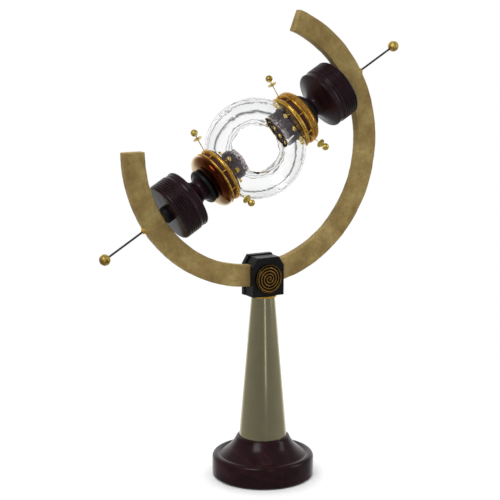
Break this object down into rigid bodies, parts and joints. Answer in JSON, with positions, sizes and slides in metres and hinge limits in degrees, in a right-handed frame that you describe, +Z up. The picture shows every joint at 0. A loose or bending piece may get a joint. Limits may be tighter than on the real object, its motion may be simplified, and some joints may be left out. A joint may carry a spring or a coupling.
{
  "type": "astrolabe",
  "caption": "Desk astrolabe: clear glass globe on an inclined polar axis inside a C-shaped brass arc, clamped on a tapered metal column with a turned wooden base.",
  "frame": {"origin": "centre of the underside of the base, on the column's axis", "axes": "+Z up along the column; the arc lies in the XZ plane; the front, with the medallion, faces -Y; the globe's axis rises to +X"},
  "size_m": [0.3563, 0.1104, 0.5015],
  "materials": {
    "felt": "matt woven felt",
    "lacquered_wood": "glossy lacquered burgundy",
    "zinc_steel": "zinc plated, dull",
    "column_metal": "satin olive grey nickel",
    "gilt_brass": "polished gilt",
    "fibre": "matt fibre",
    "black_block": "black satin enamel",
    "antique_gold": "antique gold with dark recesses",
    "arc_brass": "mottled matt ochre patina",
    "dark_steel": "dark drawn steel",
    "knob_wood": "dark burgundy, half gloss",
    "black_gloss": "gloss black",
    "bronze": "polished bronze",
    "socket_dark": "dark purple grey, speckled",
    "opal": "white opal",
    "cork": "soft dark seal",
    "clear_glass": "clear, rippled"
  },
  "bodies": {
    "stand": {"base_felt": "felt", "base": "lacquered_wood", "tie_washer": "zinc_steel", "tie_nut": "zinc_steel", "tie_rod": "zinc_steel", "column": "column_metal", "column_cap": "gilt_brass", "swivel_washer": "fibre", "spring_washer": "zinc_steel", "swivel_nut": "zinc_steel"},
    "head": {"block_front": "black_block", "block_rear": "black_block", "clamp_screws": "dark_steel", "pad_front": "fibre", "pad_rear": "fibre", "medallion": "antique_gold"},
    "arc_frame": {"arc": "arc_brass", "bush_lower": "gilt_brass", "bush_upper": "gilt_brass"},
    "globe_axis": {"rod_lower": "dark_steel", "rod_upper": "dark_steel", "rod_ball_lower": "gilt_brass", "rod_ball_upper": "gilt_brass", "spindle_lower": "zinc_steel", "spindle_upper": "zinc_steel", "thrust_washer_lower": "fibre", "thrust_washer_upper": "fibre", "spacer_lower": "black_gloss", "spacer_upper": "black_gloss", "knob_lower": "knob_wood", "knob_upper": "knob_wood", "bead_lower": "black_gloss", "bead_upper": "black_gloss", "cap_lower": "bronze", "cap_upper": "bronze", "cap_nut_lower": "zinc_steel", "cap_nut_upper": "zinc_steel", "gallery_lower": "gilt_brass", "gallery_upper": "gilt_brass", "gasket_lower": "cork", "gasket_upper": "cork", "socket_lower": "socket_dark", "socket_upper": "socket_dark", "berries_lower": "gilt_brass", "berries_upper": "gilt_brass", "pin_wires_lower": "gilt_brass", "pin_wires_upper": "gilt_brass", "pin_saucers_lower": "gilt_brass", "pin_saucers_upper": "gilt_brass", "pin_balls_lower": "gilt_brass", "pin_balls_upper": "gilt_brass", "core_ball": "opal", "glass_globe": "clear_glass"}
  },
  "joints": [
    {"name": "head_swivel", "type": "hinge", "parent": "stand", "child": "head", "pos_m": [0, 0, 0.201], "axis": [0, 0, 1], "continuous": true},
    {"name": "arc_tilt", "type": "hinge", "parent": "head", "child": "arc_frame", "pos_m": [-0.0116, 0, 0.3615], "axis": [0, 1, 0], "range_deg": [-35, 85]},
    {"name": "polar_spin", "type": "hinge", "parent": "arc_frame", "child": "globe_axis", "pos_m": [-0.00965, 0, 0.35824], "axis": [0.8581, 0, 0.5135], "continuous": true}
  ]
}
